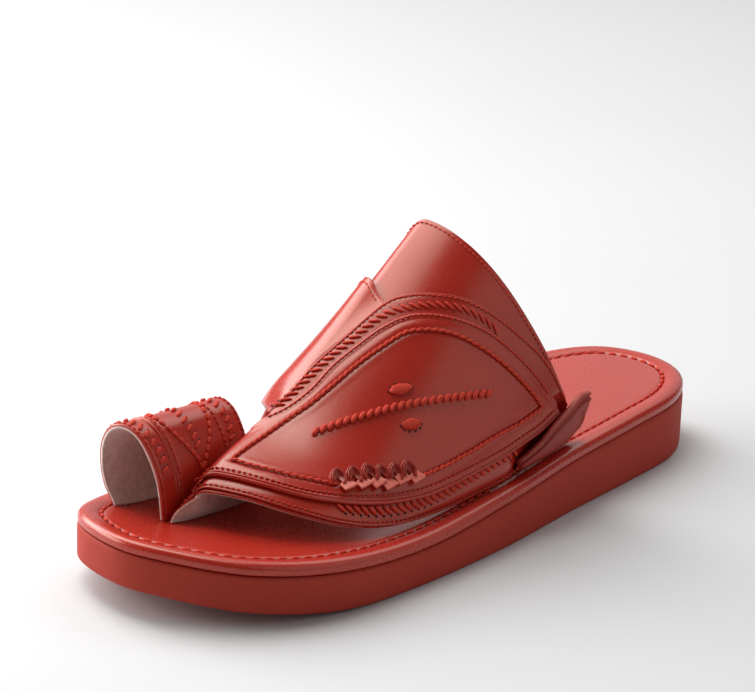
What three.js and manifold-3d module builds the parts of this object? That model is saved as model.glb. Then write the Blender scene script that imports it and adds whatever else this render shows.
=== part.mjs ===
// Left toe-loop slide sandal, millimetres, +Z up, toe towards -Y, lateral side +X.
import * as THREE from "three";
import { mergeVertices } from "three/addons/utils/BufferGeometryUtils.js";
import Module from "manifold-3d";

const wasm = await Module();
wasm.setup();

// Driving dimensions
const LENGTH = 280; // toe tip to heel end of the outsole
const GAP = 0.3; // clearance between pieces that touch
const LEAF_GAP = 0.45; // clearance under each curved overlay
const BED_RISE = 4; // footbed surface above the seam between footbed and outsole
const WALL = 2.2; // leather and lining of the upper
const UPPER_SKIN = -0.4; // outer face of the upper, from the reference surface
const LEAF_WALL = 1.2; // one overlay leaf
const STRAP_WALL = 2.2; // medial overlay strap
const LOOP_WALL = 2.2; // wall of the toe loop
const LOOP_BAND = 0.8; // raised bands at both ends of the toe loop
const THONG_WALL = 2.2; // folded leather tongue
const THONG_BULGE = 1.3; // outward swell of the tongue at half height
const THONG_LIFT = 0.4; // the tongue's foot stands on the inner slope of the rim
const SECTION_START = -112; // first section of the upper, along Y
const SECTION_STEP = 26; // between sections of the upper

// A table with named columns, one row for each section or station
function table(names, rows) {
  const columns = {};
  names.split(" ").forEach((name, j) => {
    columns[name] = rows.map((row) => row[j]);
  });
  return columns;
}

// Sole stations at equal angles of a half turn from toe to heel
const SOLE = table("lateral medial seam bottom", [
  [0, 0, 23.3, 10.6],
  [19.0, 26.2, 21.9, 9.0],
  [41.8, 38.8, 18.6, 5.2],
  [53.6, 44.0, 15.3, 1.3],
  [54.3, 45.6, 13.4, 0],
  [50.9, 40.8, 16.7, 0],
  [43.9, 36.8, 19.7, 0],
  [38.5, 35.4, 21.3, 0],
  [32.7, 32.4, 22.2, 0],
  [19.5, 21.2, 22.5, 0],
  [0, 0, 22.6, 0],
]);

// Profile of the outsole wall, from the floor up: inset from the outline, share of the height
const OUTSOLE_WALL = table("inset share", [
  [0.9, 0],
  [0.15, 0.04],
  [0, 0.1],
  [0, 0.9],
  [0.9, 1],
]);

// Profile of the footbed rim: inset from the outline, rise above the seam
const FOOTBED_RIM = table("inset rise", [
  [0.9, 0.15],
  [0.2, 0.9],
  [0.2, 2.3],
  [0.9, 3.7],
  [2.2, 4.5],
  [4.0, 4.7],
  [6.2, 4.4],
  [7.4, 3.9],
  [8.2, 3.4],
  [9.0, 3.9],
  [11, BED_RISE],
]);

// Sections of the upper across the foot: ridge, side positions and roundness of each half
const UPPER = table("ridge_x ridge_z lateral_x medial_x lateral_n medial_n", [
  [1.0, 30.2, 33.0, -40.0, 1.6, 1.68],
  [-4.5, 39.5, 40.0, -39.0, 1.4, 1.6],
  [-7.5, 49.0, 42.5, -36.5, 1.42, 1.55],
  [-9.2, 66.0, 43.5, -36.0, 1.55, 1.58],
  [-10.0, 84.3, 43.5, -33.0, 1.67, 1.72],
  [-11.2, 104.1, 42.5, -30.5, 1.71, 1.9],
  [-11.8, 123.2, 41.5, -28.0, 1.77, 2.0],
]);

// Slot between the first two toes, where the medial flank stands on the footbed
const SLOT = { front_y: -111, front_x: -5, back_y: -72, back_x: -10, turn_from: -68, turn_to: -42 };

// Strips of the upper from the medial base over the ridge to the lateral base
const UPPER_EDGE = table("u front back", [
  [-1.0, -110.6, 11],
  [-0.78, -109.8, 13],
  [-0.55, -108.4, 15],
  [-0.3, -105.8, 16.4],
  [-0.05, -103.4, 17.4],
  [0.15, -100.0, 19.3],
  [0.3, -96.0, 22.0],
  [0.45, -90.6, 25.8],
  [0.58, -84.6, 30.0],
  [0.7, -76.7, 35.0],
  [0.8, -68.1, 39.5],
  [0.864, -60.3, 43.0],
  [0.9, -55.0, 30.2],
  [0.94, -47.2, 17],
  [0.97, -34.6, 6],
  [1.0, -17.5, -7],
]);

// Outer leaf: lower edge and upper edge on the upper's own surface
const LEAF_OUTER = table("low_u low_y high_u high_y", [
  [-0.52, -106.4, -0.36, -74],
  [-0.28, -104.2, -0.27, -67],
  [0.0, -101.4, -0.14, -60],
  [0.17, -98.6, -0.03, -52.8],
  [0.36, -93.2, 0.004, -43.6],
  [0.55, -85.3, 0.064, -29.3],
  [0.71, -75.0, 0.121, -12.0],
  [0.82, -64.8, 0.195, -4.3],
  [0.89, -55.4, 0.276, 1.7],
  [0.935, -46.0, 0.361, 8.2],
  [0.965, -33.0, 0.438, 13.4],
  [0.985, -17.0, 0.512, 18.4],
  [0.975, 1.0, 0.593, 23.9],
  [0.945, 13.5, 0.679, 30.6],
  [0.905, 27.5, 0.76, 36.0],
  [0.874, 36.6, 0.838, 39.8],
]);

// Inner leaf: lower edge and upper edge on the upper's own surface
const LEAF_INNER = table("low_u low_y high_u high_y", [
  [-0.3, -100.6, -0.32, -94],
  [-0.08, -98.8, -0.24, -80],
  [0.164, -94.2, -0.06, -69],
  [0.381, -87.4, 0.08, -59.5],
  [0.547, -78.8, 0.135, -48.8],
  [0.666, -67.4, 0.143, -38.2],
  [0.763, -53.4, 0.167, -29.2],
  [0.834, -37.2, 0.195, -20.0],
  [0.86, -23.8, 0.238, -11.9],
  [0.872, -11.0, 0.3, -5.2],
  [0.88, 1.7, 0.435, 5.5],
  [0.878, 13.7, 0.52, 11.9],
  [0.875, 23.5, 0.642, 20.4],
  [0.86, 34.2, 0.815, 32.6],
]);

// Medial overlay strap, back to front: base on the medial side, edge beside the outer leaf
const STRAP = table("low_u low_y high_u high_y", [
  [-0.98, 9, 0.09, -11.6],
  [-0.98, 1, 0.045, -20],
  [-0.98, -8, 0.01, -29.2],
  [-0.98, -15, -0.05, -41],
  [-0.98, -20, -0.09, -50.2],
  [-0.98, -24, -0.21, -57.4],
]);

// Outline of the toe loop from its medial base over the top to its lateral base
const LOOP = table("across up", [
  [-0.62, 0],
  [-0.9, 0.22],
  [-1.0, 0.48],
  [-0.93, 0.74],
  [-0.66, 0.93],
  [-0.24, 1.0],
  [0.2, 0.94],
  [0.56, 0.76],
  [0.84, 0.5],
  [0.96, 0.24],
  [1.0, 0],
]);

// Front and rear end of the toe loop: middle, half width, top, place along Y, turn and forward lean
const LOOP_END = table("middle half top y skew lean", [
  [-19.6, 13.15, 54.0, -114.4, 0.198, 1.0],
  [-24.2, 12.1, 49.8, -68.6, 0.07, -0.3],
]);

// Rows of the toe loop along its length: share of the length, raised or not
const LOOP_ROW = table("share raised", [
  [0, 1],
  [0.155, 1],
  [0.175, 0],
  [0.5, 0],
  [0.75, 0],
  [0.77, 1],
  [1, 1],
]);

// Lateral tongue: foot on the footbed and upper edge, outer face
const THONG = table("foot_x foot_y foot_rise head_x head_y head_z", [
  [41.9, 14.0, 0.4, 46.5, 11.0, 26.8],
  [41.4, 22.0, 0.4, 47.4, 20.0, 31.4],
  [40.5, 30.5, 0.4, 47.1, 28.5, 36.6],
  [39.0, 39.0, 0.4, 46.1, 37.5, 40.8],
  [37.4, 46.5, 0.4, 43.9, 45.5, 43.8],
  [37.8, 52.5, 8.0, 42.4, 53.0, 43.4],
]);

// Passage for the big toe through the medial wall: arch along Y
const TOE_ARCH = { middle: -25.5, half: 14, spring: 28, top: 48.5, round: 3, from: -120, to: -46 };

// Knots on the inner leaf: place on the surface and size
const KNOT = table("u y", [
  [0.584, -61.5],
  [0.609, -56.1],
  [0.633, -51.3],
  [0.665, -46.6],
  [0.689, -41.9],
  [0.711, -36.8],
]);
const KNOT_SIZE = { wide: 3.9, long: 8.6, high: 2.6 };

const COLOURS = {
  leather: 0xa83226,
  foam: 0x98392b,
};

// Catmull-Rom through equally spaced values, carried straight on past both ends
function smooth(values, k) {
  const last = values.length - 1;
  const i = Math.min(Math.max(Math.floor(k), 0), last - 1);
  const t = k - i;
  const p1 = values[i];
  const p2 = values[i + 1];
  const p0 = i > 0 ? values[i - 1] : 2 * p1 - p2;
  const p3 = i + 2 <= last ? values[i + 2] : 2 * p2 - p1;
  const a = 2 * p0 - 5 * p1 + 4 * p2 - p3;
  const b = 3 * p1 - p0 - 3 * p2 + p3;
  return 0.5 * (2 * p1 + (p2 - p0) * t + a * t * t + b * t * t * t);
}

function mix(a, b, t) {
  return a + (b - a) * t;
}

function ramp(from, to, value) {
  const t = Math.min(Math.max((value - from) / (to - from), 0), 1);
  return t * t * (3 - 2 * t);
}

// Station number of a place along Y
function station(y) {
  const c = Math.min(Math.max((-2 * y) / LENGTH, -1), 1);
  return (Math.acos(c) / Math.PI) * (SOLE.seam.length - 1);
}

function seamHeight(y) {
  return smooth(SOLE.seam, station(y));
}

function bedHeight(y) {
  return seamHeight(y) + BED_RISE;
}

// A closed geometry from points and triangles
function geometryOf(points, triangles) {
  const geometry = new THREE.BufferGeometry();
  geometry.setAttribute("position", new THREE.Float32BufferAttribute(points.flat(), 3));
  geometry.setIndex(triangles);
  return geometry;
}

// Outline ring of the sole at an inset, with its height given by a function of the station
const SOLE_STEPS = 34;
function soleRing(inset, height) {
  const rim = [];
  const stations = SOLE.seam.length - 1;
  const at = (k, side) => {
    const y = (-LENGTH / 2) * Math.cos((Math.PI * k) / stations);
    const half = side > 0 ? smooth(SOLE.lateral, k) : -smooth(SOLE.medial, k);
    return [half, y];
  };
  for (let i = 0; i <= SOLE_STEPS; i++) {
    rim.push([(i / SOLE_STEPS) * stations, 1]);
  }
  for (let i = SOLE_STEPS - 1; i > 0; i--) {
    rim.push([(i / SOLE_STEPS) * stations, -1]);
  }
  const plan = rim.map(([k, side]) => at(k, side));
  return plan.map((p, i) => {
    const before = plan[(i + plan.length - 1) % plan.length];
    const after = plan[(i + 1) % plan.length];
    const dx = after[0] - before[0];
    const dy = after[1] - before[1];
    const size = Math.hypot(dx, dy);
    const y = p[1] + (dx / size) * inset;
    return [p[0] - (dy / size) * inset, y, height(station(y))];
  });
}

// Rings stacked from below, closed by strips across the foot at both ends
function stack(rings) {
  const n = rings[0].length;
  const triangles = [];
  for (let j = 0; j + 1 < rings.length; j++) {
    for (let i = 0; i < n; i++) {
      const a = j * n + i;
      const b = j * n + ((i + 1) % n);
      triangles.push(a, b, b + n, a, b + n, a + n);
    }
  }
  const top = (rings.length - 1) * n;
  for (let i = 0; i < SOLE_STEPS; i++) {
    const other = (k) => (n - k) % n;
    const corners = [i, i + 1, other(i + 1), other(i)];
    const pairs = [
      [corners[0], corners[1], corners[2]],
      [corners[0], corners[2], corners[3]],
    ];
    for (const [a, b, c] of pairs) {
      if (a === b || b === c || a === c) {
        continue;
      }
      triangles.push(a, c, b, top + a, top + b, top + c);
    }
  }
  return geometryOf(rings.flat(), triangles);
}

function outsole() {
  const rings = OUTSOLE_WALL.inset.map((inset, j) =>
    soleRing(inset, (k) => {
      const low = Math.max(smooth(SOLE.bottom, k), 0);
      const high = smooth(SOLE.seam, k) - GAP / 2;
      return mix(low, high, OUTSOLE_WALL.share[j]);
    })
  );
  return stack(rings);
}

function footbed() {
  const rings = FOOTBED_RIM.inset.map((inset, j) =>
    soleRing(inset, (k) => smooth(SOLE.seam, k) + FOOTBED_RIM.rise[j])
  );
  return stack(rings);
}

// Reference surface of the upper: u runs from the medial base over the ridge to the lateral base
function surfacePoint(u, y) {
  const k = (y - SECTION_START) / SECTION_STEP;
  const base = bedHeight(y) + GAP;
  const ridgeX = smooth(UPPER.ridge_x, k);
  const ridgeZ = smooth(UPPER.ridge_z, k);
  const slot = mix(SLOT.front_x, SLOT.back_x, (y - SLOT.front_y) / (SLOT.back_y - SLOT.front_y));
  const medial = mix(slot, smooth(UPPER.medial_x, k), ramp(SLOT.turn_from, SLOT.turn_to, y));
  const side = u > 0 ? smooth(UPPER.lateral_x, k) : medial;
  const power = 2 / (u > 0 ? smooth(UPPER.lateral_n, k) : smooth(UPPER.medial_n, k));
  const angle = (Math.min(Math.abs(u), 1) * Math.PI) / 2;
  const across = Math.sin(angle) ** power;
  const up = Math.max(Math.cos(angle), 0) ** power;
  return new THREE.Vector3(mix(ridgeX, side, across), y, mix(base, ridgeZ, up));
}

// Outward direction of the reference surface
function surfaceNormal(u, y) {
  const du = 0.05;
  const dy = 1.5;
  const across = surfacePoint(Math.min(u + du, 1), y).sub(surfacePoint(Math.max(u - du, -1), y));
  const along = surfacePoint(u, y + dy).sub(surfacePoint(u, y - dy));
  const normal = across.cross(along).normalize();
  if (Math.abs(u) > 0.9) {
    normal.z *= (1 - Math.abs(u)) / 0.1;
    normal.normalize();
  }
  return normal;
}

function surfaceOffset(u, y, offset) {
  const p = surfacePoint(u, y).addScaledVector(surfaceNormal(u, y), offset);
  const floor = bedHeight(p.y) + GAP;
  return [p.x, p.y, Math.max(p.z, floor)];
}

// A sheet between two grids of points, closed round its edge
function sheet(outer, inner) {
  const rows = outer.length;
  const cols = outer[0].length;
  const count = rows * cols;
  const points = [...outer.flat(), ...inner.flat()];
  const triangles = [];
  const quad = (a, b, c, d) => triangles.push(a, b, c, a, c, d);
  for (let i = 0; i + 1 < rows; i++) {
    for (let j = 0; j + 1 < cols; j++) {
      const a = i * cols + j;
      quad(a, a + cols, a + cols + 1, a + 1);
      quad(count + a, count + a + 1, count + a + cols + 1, count + a + cols);
    }
  }
  for (let i = 0; i + 1 < rows; i++) {
    const a = i * cols;
    const b = a + cols - 1;
    quad(a, count + a, count + a + cols, a + cols);
    quad(b, b + cols, count + b + cols, count + b);
  }
  for (let j = 0; j + 1 < cols; j++) {
    const b = (rows - 1) * cols + j;
    quad(j, j + 1, count + j + 1, count + j);
    quad(b, count + b, count + b + 1, b + 1);
  }
  return geometryOf(points, triangles);
}

// A leaf of leather on the upper's surface between a lower and an upper edge
function leaf(edges, offset, wall, rows, cols) {
  const grid = (depth) =>
    Array.from({ length: rows + 1 }, (_, i) => {
      const k = (i / rows) * (edges.low_u.length - 1);
      return Array.from({ length: cols + 1 }, (__, j) => {
        const u = mix(smooth(edges.low_u, k), smooth(edges.high_u, k), j / cols);
        const y = mix(smooth(edges.low_y, k), smooth(edges.high_y, k), j / cols);
        return surfaceOffset(u, y, depth);
      });
    });
  return sheet(grid(offset + wall), grid(offset));
}

function upperSheet() {
  const edges = {
    low_u: UPPER_EDGE.u,
    low_y: UPPER_EDGE.front,
    high_u: UPPER_EDGE.u,
    high_y: UPPER_EDGE.back,
  };
  return leaf(edges, UPPER_SKIN - WALL, WALL, 45, 18);
}

// Solid for the boolean cut, and back to a geometry
function solidOf(geometry) {
  const vertProperties = geometry.attributes.position.array;
  const triVerts = new Uint32Array(geometry.index.array);
  return new wasm.Manifold(new wasm.Mesh({ numProp: 3, vertProperties, triVerts }));
}

function geometryFrom(solid) {
  const mesh = solid.getMesh();
  const points = [];
  for (let i = 0; i < mesh.vertProperties.length; i += mesh.numProp) {
    points.push(Array.from(mesh.vertProperties.slice(i, i + 3)));
  }
  return geometryOf(points, Array.from(mesh.triVerts));
}

function toePassage() {
  const shape = new THREE.Shape();
  const foot = -5;
  shape.moveTo(TOE_ARCH.middle - TOE_ARCH.half, foot);
  shape.lineTo(TOE_ARCH.middle + TOE_ARCH.half, foot);
  const steps = 16;
  for (let i = 0; i <= steps; i++) {
    const angle = (Math.PI * i) / steps;
    const across = Math.sign(Math.cos(angle)) * Math.abs(Math.cos(angle)) ** (2 / TOE_ARCH.round);
    const up = Math.abs(Math.sin(angle)) ** (2 / TOE_ARCH.round);
    const x = TOE_ARCH.middle + across * TOE_ARCH.half;
    shape.lineTo(x, mix(TOE_ARCH.spring, TOE_ARCH.top, up));
  }
  const options = { depth: TOE_ARCH.to - TOE_ARCH.from, bevelEnabled: false };
  const geometry = new THREE.ExtrudeGeometry(shape, options);
  geometry.rotateX(Math.PI / 2);
  geometry.translate(0, TOE_ARCH.to, 0);
  geometry.deleteAttribute("normal");
  geometry.deleteAttribute("uv");
  return mergeVertices(geometry, 1e-4);
}

// Toe loop: one open arch of leather, its ends standing on the footbed
function toeLoop() {
  const steps = 22;
  const at = (share, t, depth) => {
    const k = t * (LOOP.across.length - 1);
    const end = (name) => mix(LOOP_END[name][0], LOOP_END[name][1], share);
    const plan = (s) => {
      const across = smooth(LOOP.across, s);
      const up = smooth(LOOP.up, s);
      const x = end("middle") + across * end("half");
      const y = end("y") + end("skew") * (x - end("middle")) - end("lean") * up;
      const base = bedHeight(y) + GAP;
      return new THREE.Vector3(x, y, mix(base, end("top"), up));
    };
    const p = plan(k);
    const a = plan(Math.max(k - 0.05, 0));
    const b = plan(Math.min(k + 0.05, LOOP.across.length - 1));
    const normal = new THREE.Vector3(-(b.z - a.z), 0, b.x - a.x).normalize();
    if (t === 0 || t === 1) {
      normal.z = 0;
      normal.normalize();
    }
    p.addScaledVector(normal, depth);
    return [p.x, p.y, p.z];
  };
  const grid = (depth, raised) =>
    Array.from({ length: steps + 1 }, (_, i) =>
      LOOP_ROW.share.map((share, j) =>
        at(share, i / steps, depth + (raised ? LOOP_BAND * (LOOP_ROW.raised[j] - 1) : 0))
      )
    );
  return sheet(grid(0, true), grid(-LOOP_WALL - LOOP_BAND, false));
}

// Lateral tongue: a folded strip that stands on the footbed and leans on the rear corner
function thong() {
  const rows = 14;
  const cols = 5;
  const grid = (depth) =>
    Array.from({ length: rows + 1 }, (_, i) => {
      const k = (i / rows) * (THONG.foot_x.length - 1);
      const footY = smooth(THONG.foot_y, k);
      const rise = Math.max(smooth(THONG.foot_rise, k), THONG_LIFT);
      const foot = [smooth(THONG.foot_x, k), footY, bedHeight(footY) + rise + GAP];
      const head = ["head_x", "head_y", "head_z"].map((name) => smooth(THONG[name], k));
      return Array.from({ length: cols + 1 }, (__, j) => {
        const t = j / cols;
        const bulge = Math.sin(Math.PI * t) * THONG_BULGE;
        const [x, y, z] = [0, 1, 2].map((axis) => mix(foot[axis], head[axis], t));
        return [x + bulge + depth, y, z];
      });
    });
  return sheet(grid(0), grid(-THONG_WALL));
}

// One folded knot: a small pad with a rounded top on the inner leaf
function knot(u, y, lift) {
  const rows = 6;
  const cols = 4;
  const centre = surfacePoint(u, y);
  const normal = surfaceNormal(u, y);
  const along = surfacePoint(u + 0.02, y).sub(surfacePoint(u - 0.02, y)).normalize();
  const wide = new THREE.Vector3().crossVectors(normal, along).normalize();
  const grid = (top) =>
    Array.from({ length: rows + 1 }, (_, i) =>
      Array.from({ length: cols + 1 }, (__, j) => {
        const a = (2 * i) / rows - 1;
        const b = (2 * j) / cols - 1;
        const round = Math.sqrt(Math.max(1 - 0.85 * a * a * (1 - 0.3 * b * b), 0));
        const rise = top ? 0.35 + KNOT_SIZE.high * (1 - a ** 4) * (1 - b ** 4) : 0;
        const p = centre
          .clone()
          .addScaledVector(along, (a * KNOT_SIZE.long) / 2)
          .addScaledVector(wide, (b * round * KNOT_SIZE.wide) / 2)
          .addScaledVector(normal, lift + rise);
        return p.toArray();
      })
    );
  return sheet(grid(true), grid(false));
}

const root = new THREE.Group();
root.name = "sandal";

function add(name, geometry, colour, roughness) {
  const material = new THREE.MeshStandardMaterial({ color: colour, roughness, metalness: 0 });
  const mesh = new THREE.Mesh(geometry, material);
  mesh.name = name;
  root.add(mesh);
}

const leafBase = UPPER_SKIN + LEAF_GAP;
const innerBase = leafBase + LEAF_WALL + LEAF_GAP;
const passage = solidOf(toePassage());
add("outsole", outsole(), COLOURS.foam, 0.8);
add("footbed", footbed(), COLOURS.leather, 0.4);
add("upper", geometryFrom(solidOf(upperSheet()).subtract(passage)), COLOURS.leather, 0.45);
add("medial_overlay", leaf(STRAP, leafBase, STRAP_WALL, 14, 10), COLOURS.leather, 0.45);
add("leaf_outer", leaf(LEAF_OUTER, leafBase, LEAF_WALL, 36, 10), COLOURS.leather, 0.45);
add("leaf_inner", leaf(LEAF_INNER, innerBase, LEAF_WALL, 32, 9), COLOURS.leather, 0.45);
add("toe_loop", toeLoop(), COLOURS.leather, 0.5);
add("lateral_thong", thong(), COLOURS.leather, 0.45);
KNOT.u.forEach((u, i) => {
  const lift = innerBase + LEAF_WALL + GAP;
  add(`knot_${i + 1}`, knot(u, KNOT.y[i], lift), COLOURS.leather, 0.5);
});

// The frame's origin is the bottom centre of the whole sandal
const box = new THREE.Box3().setFromObject(root);
root.position.set(-(box.min.x + box.max.x) / 2, -(box.min.y + box.max.y) / 2, -box.min.z);
root.updateMatrixWorld(true);

export default root;
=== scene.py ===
"""Left toe-loop slide sandal: leather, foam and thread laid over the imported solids.

Lengths in the tables are millimetres in the last's own frame: +Z up, toe towards -Y, lateral side +X.
"""

import math

import bpy
import numpy as np
from mathutils import Matrix, Vector


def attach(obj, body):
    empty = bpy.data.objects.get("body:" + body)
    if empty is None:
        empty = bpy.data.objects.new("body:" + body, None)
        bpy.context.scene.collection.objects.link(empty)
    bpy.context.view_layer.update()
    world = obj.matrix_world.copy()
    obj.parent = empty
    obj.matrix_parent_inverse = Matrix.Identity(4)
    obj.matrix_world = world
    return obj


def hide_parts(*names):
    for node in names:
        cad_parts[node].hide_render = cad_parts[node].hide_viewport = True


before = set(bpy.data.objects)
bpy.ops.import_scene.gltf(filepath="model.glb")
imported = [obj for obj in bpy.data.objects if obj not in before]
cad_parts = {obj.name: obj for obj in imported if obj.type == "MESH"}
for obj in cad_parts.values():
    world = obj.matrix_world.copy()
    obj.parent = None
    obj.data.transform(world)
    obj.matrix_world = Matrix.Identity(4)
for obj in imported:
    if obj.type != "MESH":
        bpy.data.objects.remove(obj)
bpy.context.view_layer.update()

# Driving dimensions
MM = 0.001
LAST_X = 4.572  # the frame's middle line in the last's own frame
LENGTH = 280.0  # toe tip to heel end of the outsole
GAP = 0.3  # clearance between pieces that touch
BED_RISE = 4.0  # footbed surface above the seam between footbed and outsole
UPPER_SKIN = -0.4  # outer face of the upper, from the reference surface
UPPER_WALL = 2.2  # leather and lining of the upper
LINING = 0.7  # lining of the upper
LEAF_BASE = 0.05  # underside of the outer leaf and the strap
LEAF_WALL = 1.2  # one overlay leaf
INNER_BASE = 1.7  # underside of the inner leaf
LEAF_TOP = LEAF_BASE + LEAF_WALL
INNER_TOP = INNER_BASE + LEAF_WALL
INNER_LEAST = 0.25  # least thickness of the inner leaf in its grooves, and of the strap at its edges
STRAP_LEAST = 0.2
THREAD_SEAT = 0.1  # middle of a hand-sewn row above the leather
STRAP_LOW = 0.6  # strap's outer face beside the outer leaf, which laps over it
STRAP_RISE = 1.7  # further rise of the strap towards the medial side
STRAP_SLOPE = 14.0  # width of that rise
STRAP_LAP = 0.05  # reach of the strap under the outer leaf, in u
FRONT_SKIVE = 0.6  # thinning of the outer leaf at the front edge
ROLL_DEPTH = 5.0  # the lateral rear edge of the upper turns in behind the tongue
ROLL_WIDTH = 10.0
ROLL_START = (6.0, 22.0)  # where that turn begins and is full, along Y
FRONT_THIN = 1.1  # thinning of the upper's wall at the front edge, and how far back it reaches
FRONT_REACH = 7.0
SKIN_THIN = 0.75  # share of that thinning on the seam between leather and lining
MEDIAL_FULLNESS = 1.6  # fullness of the medial shoulder beside the ridge
NOSE_DROP = 3.5  # fall of the medial shoulder beside the toe loop
LOOP_WALL = 2.2  # wall of the toe loop
LOOP_BAND = 0.8  # raised bands at both ends of the toe loop
LOOP_SINK = 0.05  # leather between the bands, puffed up by its rows of thread
LOOP_THIN = 1.2  # thinning of the loop's wall at both ends, and how far it reaches
LOOP_REACH = 8.0
LOOP_SKIN_THIN = 1.1  # share of that thinning on the seam between leather and lining
LOOP_LENGTH = 45.8
FRONT_BAND = 8.7  # length of the loop's front band
REAR_BAND = 34.5  # start of the loop's rear band
THONG_WALL = 2.2  # folded tongue
THONG_BULGE = 1.3  # outward curve of both its faces
THONG_SWELL = 0.9  # further curve of its outer face, below the lips
THONG_SWELL_TOP = 0.75  # share of its height where that ends
THONG_SWELL_ROWS = (0.8, 2.4, 4.4, 5)  # stations where that rises and ends again
THONG_FOLD = [(4.3, 0.1, 0.7)]  # upright fold: station, width, rise
THONG_FOLD_UP = (0.1, 0.25, 0.5, 0.68)  # shares of the height where the fold rises and ends again
THONG_HEIGHT = 18.0  # about the height of the tongue, and the space between its stations
THONG_STEP = 9.0
WEB_SAG = 1.6  # sag of the web behind the tongue
WEB_SEAT = (-0.9, 0.0, -0.5)  # web's edge from the tongue's upper edge
SECTION_START = -112.0  # first section of the upper, along Y
SECTION_STEP = 26.0  # between sections of the upper


def table(names, rows):
    """A table with named columns, one row for each section or station."""
    return dict(zip(names.split(), np.array(rows, float).T))


# Sole stations at equal angles of a half turn from toe to heel
SOLE = table("lateral medial seam bottom", [
    [0, 0, 23.3, 10.6],
    [19.0, 26.2, 21.9, 9.0],
    [41.8, 38.8, 18.6, 5.2],
    [53.6, 44.0, 15.3, 1.3],
    [54.3, 45.6, 13.4, 0],
    [50.9, 40.8, 16.7, 0],
    [43.9, 36.8, 19.7, 0],
    [38.5, 35.4, 21.3, 0],
    [32.7, 32.4, 22.2, 0],
    [19.5, 21.2, 22.5, 0],
    [0, 0, 22.6, 0],
])
STATIONS = len(SOLE["seam"]) - 1

# Outsole wall from the floor up: inset from the outline, share of the height
OUTSOLE_WALL = table("inset share", [
    [1.3, 0], [0.6, 0.008], [0.22, 0.03], [0.05, 0.07], [0, 0.13], [0, 0.35], [0, 0.6], [0, 0.87],
    [0.04, 0.92], [0.18, 0.955], [0.45, 0.98], [0.9, 1],
])

# Footbed rim: inset from the outline, rise above the seam
FOOTBED_RIM = table("inset rise", [
    [0.9, 0.15], [0.35, 0.5], [0.2, 1.1], [0.2, 2.3], [0.5, 3.2], [1.2, 4.0], [2.4, 4.55], [4.0, 4.7],
    [5.6, 4.5], [6.9, 4.1], [7.6, 3.65], [8.2, 3.35], [8.8, 3.65], [9.6, 3.95], [11, BED_RISE],
])
GROOVE = {"inset": 8.2, "rise": 3.35}

# Sections of the upper across the foot
UPPER = table("ridge_x ridge_z lateral_x medial_x lateral_n medial_n", [
    [1.0, 30.2, 33.0, -40.0, 1.6, 1.68],
    [-4.5, 39.5, 40.0, -39.0, 1.4, 1.6],
    [-7.5, 49.0, 42.5, -36.5, 1.42, 1.55],
    [-9.2, 66.0, 43.5, -36.0, 1.55, 1.58],
    [-10.0, 84.3, 43.5, -33.0, 1.67, 1.72],
    [-11.2, 104.1, 42.5, -30.5, 1.71, 1.9],
    [-11.8, 123.2, 41.5, -28.0, 1.77, 2.0],
])
SLOT = {"front_y": -111, "front_x": -5, "back_y": -72, "back_x": -10, "turn_from": -68, "turn_to": -42}

# Medial shoulder: where its fullness, and its fall at the nose, rise and end again along u and Y
FULL_U = (0.1, -0.2, -0.5, -0.95)
FULL_Y = (-75, -50)
FULLER_Y = (-45, 0)  # from a share of the fullness to the whole
FULLER_SHARE = 0.45
NOSE_U = (0.14, -0.12, -0.6, -1)
NOSE_Y = (-112, -96, -78, -56)
SHOULDER_OUT = (-0.45, 0.89)  # across and up

# Strips of the upper from the medial base over the ridge to the lateral base
UPPER_EDGE = table("u front back", [
    [-1.0, -110.6, 11], [-0.78, -109.8, 13], [-0.55, -108.4, 15], [-0.3, -105.8, 16.4],
    [-0.05, -103.4, 17.4], [0.15, -100.0, 19.3], [0.3, -96.0, 22.0], [0.45, -90.6, 25.8],
    [0.58, -84.6, 30.0], [0.7, -76.7, 35.0], [0.8, -68.1, 39.5], [0.864, -60.3, 43.0],
    [0.9, -55.0, 41.5], [0.94, -47.2, 30], [0.97, -34.6, 14], [1.0, -17.5, -5],
])
UPPER_STRIPS = dict(zip(
    ("low_u", "low_y", "high_u", "high_y"), (UPPER_EDGE[name] for name in ("u", "front", "u", "back")),
))

# Leaves and strap: lower edge and upper edge on the upper's own surface
LEAF_OUTER = table("low_u low_y high_u high_y", [
    [-0.52, -106.4, -0.36, -74],
    [-0.28, -104.2, -0.27, -67],
    [0.0, -101.4, -0.14, -60],
    [0.17, -98.6, -0.03, -52.8],
    [0.36, -93.2, 0.004, -43.6],
    [0.55, -85.3, 0.064, -29.3],
    [0.71, -75.0, 0.121, -12.0],
    [0.82, -64.8, 0.195, -4.3],
    [0.89, -55.4, 0.276, 1.7],
    [0.935, -46.0, 0.361, 8.2],
    [0.965, -33.0, 0.438, 13.4],
    [0.985, -17.0, 0.512, 18.4],
    [0.985, 2.5, 0.593, 23.9],
    [0.965, 16.5, 0.679, 30.6],
    [0.925, 29.5, 0.76, 36.0],
    [0.874, 36.6, 0.838, 39.8],
])
LEAF_INNER = table("low_u low_y high_u high_y", [
    [-0.3, -100.6, -0.32, -94],
    [-0.08, -98.8, -0.24, -80],
    [0.164, -94.2, -0.06, -69],
    [0.381, -87.4, 0.08, -59.5],
    [0.547, -78.8, 0.135, -48.8],
    [0.666, -67.4, 0.143, -38.2],
    [0.763, -53.4, 0.167, -29.2],
    [0.834, -37.2, 0.195, -20.0],
    [0.86, -23.8, 0.238, -11.9],
    [0.872, -11.0, 0.3, -5.2],
    [0.88, 1.7, 0.435, 5.5],
    [0.878, 13.7, 0.52, 11.9],
    [0.875, 23.5, 0.642, 20.4],
    [0.86, 34.2, 0.815, 32.6],
])
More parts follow.
